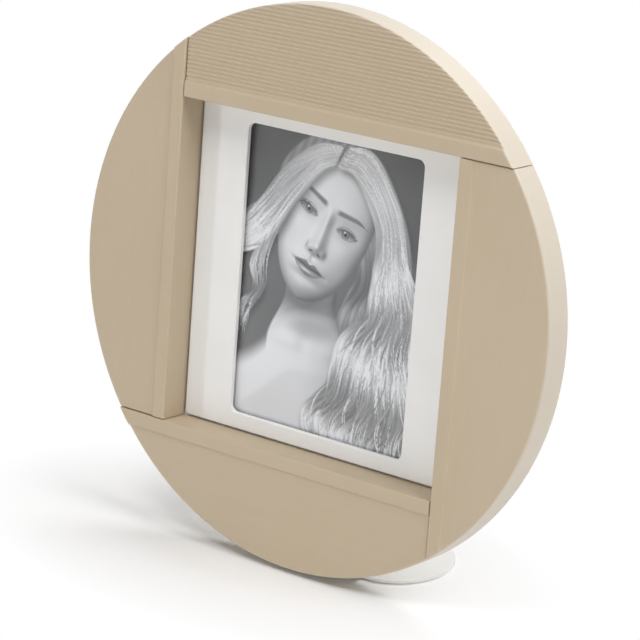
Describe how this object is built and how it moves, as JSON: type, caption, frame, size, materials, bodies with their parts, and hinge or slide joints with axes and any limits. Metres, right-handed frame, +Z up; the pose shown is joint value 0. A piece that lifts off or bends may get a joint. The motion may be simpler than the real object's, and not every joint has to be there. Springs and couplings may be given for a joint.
{
  "type": "round photo frame",
  "caption": "Round standing photo frame of butted, lipped boards, one finely reeded, with a white panel and portrait window, swivel-button back and a flat steel foot.",
  "frame": {"origin": "on the floor, at the middle of the foot pad's underside", "axes": "+X to the frame's right as the viewer sees it, the front faces -Y, +Z up; the disc leans back 6.73 degrees about X"},
  "size_m": [0.33, 0.0883, 0.3306],
  "materials": {
    "board_lacquer": "matte beige lacquer on MDF",
    "panel_white": "matte white lacquer on MDF",
    "tongue_wood": "bare plywood",
    "staple_wire": "galvanised wire",
    "hardboard": "bare hardboard",
    "clear_pane": "clear polished",
    "print_paper": "silk photo paper",
    "grey_card": "grey card",
    "button_nickel": "nickel plate",
    "screw_steel": "zinc-plated",
    "foot_paint": "satin white powder coat",
    "pad_foam": "thin pale foam"
  },
  "bodies": {
    "frame": {"left_board": "board_lacquer", "top_board": "board_lacquer", "right_board": "board_lacquer", "bottom_board": "board_lacquer", "joint_tongues": "tongue_wood", "mat_panel": "panel_white", "panel_staples": "staple_wire", "glazing_pane": "clear_pane", "photo_print": "print_paper", "backing_card": "grey_card", "backing_board": "hardboard", "turn_button_screws": "screw_steel", "foot_bracket": "foot_paint", "foot_screws": "screw_steel", "foot_pad": "pad_foam"},
    "turn_button_left_upper": {"turn_button_left_upper": "button_nickel"},
    "turn_button_left_lower": {"turn_button_left_lower": "button_nickel"},
    "turn_button_right_upper": {"turn_button_right_upper": "button_nickel"},
    "turn_button_right_lower": {"turn_button_right_lower": "button_nickel"},
    "turn_button_top": {"turn_button_top": "button_nickel"},
    "turn_button_bottom": {"turn_button_bottom": "button_nickel"}
  },
  "joints": [
    {"name": "turn_button_left_upper_swivel", "type": "hinge", "parent": "frame", "child": "turn_button_left_upper", "pos_m": [-0.0764, -0.00222, 0.2153], "axis": [0, 0.9931, -0.1172], "continuous": true},
    {"name": "turn_button_left_lower_swivel", "type": "hinge", "parent": "frame", "child": "turn_button_left_lower", "pos_m": [-0.0764, -0.0144, 0.11202], "axis": [0, 0.9931, -0.1172], "continuous": true},
    {"name": "turn_button_right_upper_swivel", "type": "hinge", "parent": "frame", "child": "turn_button_right_upper", "pos_m": [0.0764, -0.00222, 0.2153], "axis": [0, 0.9931, -0.1172], "continuous": true},
    {"name": "turn_button_right_lower_swivel", "type": "hinge", "parent": "frame", "child": "turn_button_right_lower", "pos_m": [0.0764, -0.0144, 0.11202], "axis": [0, 0.9931, -0.1172], "continuous": true},
    {"name": "turn_button_top_swivel", "type": "hinge", "parent": "frame", "child": "turn_button_top", "pos_m": [0, 0.00357, 0.26436], "axis": [0, 0.9931, -0.1172], "continuous": true},
    {"name": "turn_button_bottom_swivel", "type": "hinge", "parent": "frame", "child": "turn_button_bottom", "pos_m": [0, -0.02019, 0.06296], "axis": [0, 0.9931, -0.1172], "continuous": true}
  ]
}
